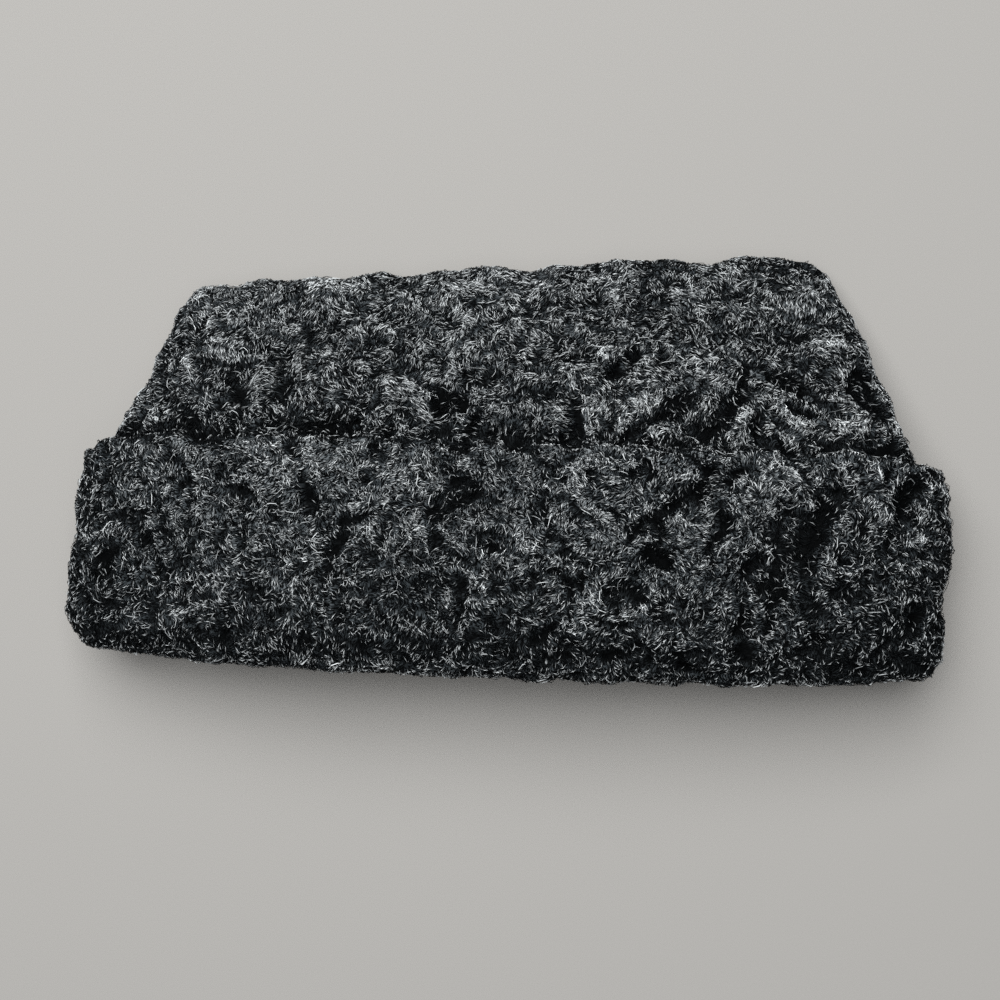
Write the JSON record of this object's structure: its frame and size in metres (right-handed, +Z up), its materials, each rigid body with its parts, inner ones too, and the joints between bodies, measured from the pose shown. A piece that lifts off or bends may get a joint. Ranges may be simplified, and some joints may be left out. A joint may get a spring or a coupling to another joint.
{
  "type": "folded curly lambskin hat",
  "caption": "Soft hat of black curly lamb pile, folded flat on its side: a tapering crown with a deep turned-up cuff and an open head hollow.",
  "frame": {"origin": "on the surface that the hat lies on, under the centre of its bounding box", "axes": "+X from the back fold to the front fold, +Y from the head opening to the crown's ridge, +Z up from the surface it lies on"},
  "size_m": [0.3046, 0.155, 0.0535],
  "materials": {
    "crown_fur": "large, smooth curls of cool black lamb pile with a soft sheen on their backs",
    "cuff_fur": "smaller, wilder curls of cool black lamb pile, a little duller than the crown's"
  },
  "bodies": {
    "root": {"crown": "crown_fur", "cuff": "cuff_fur"}
  },
  "joints": []
}
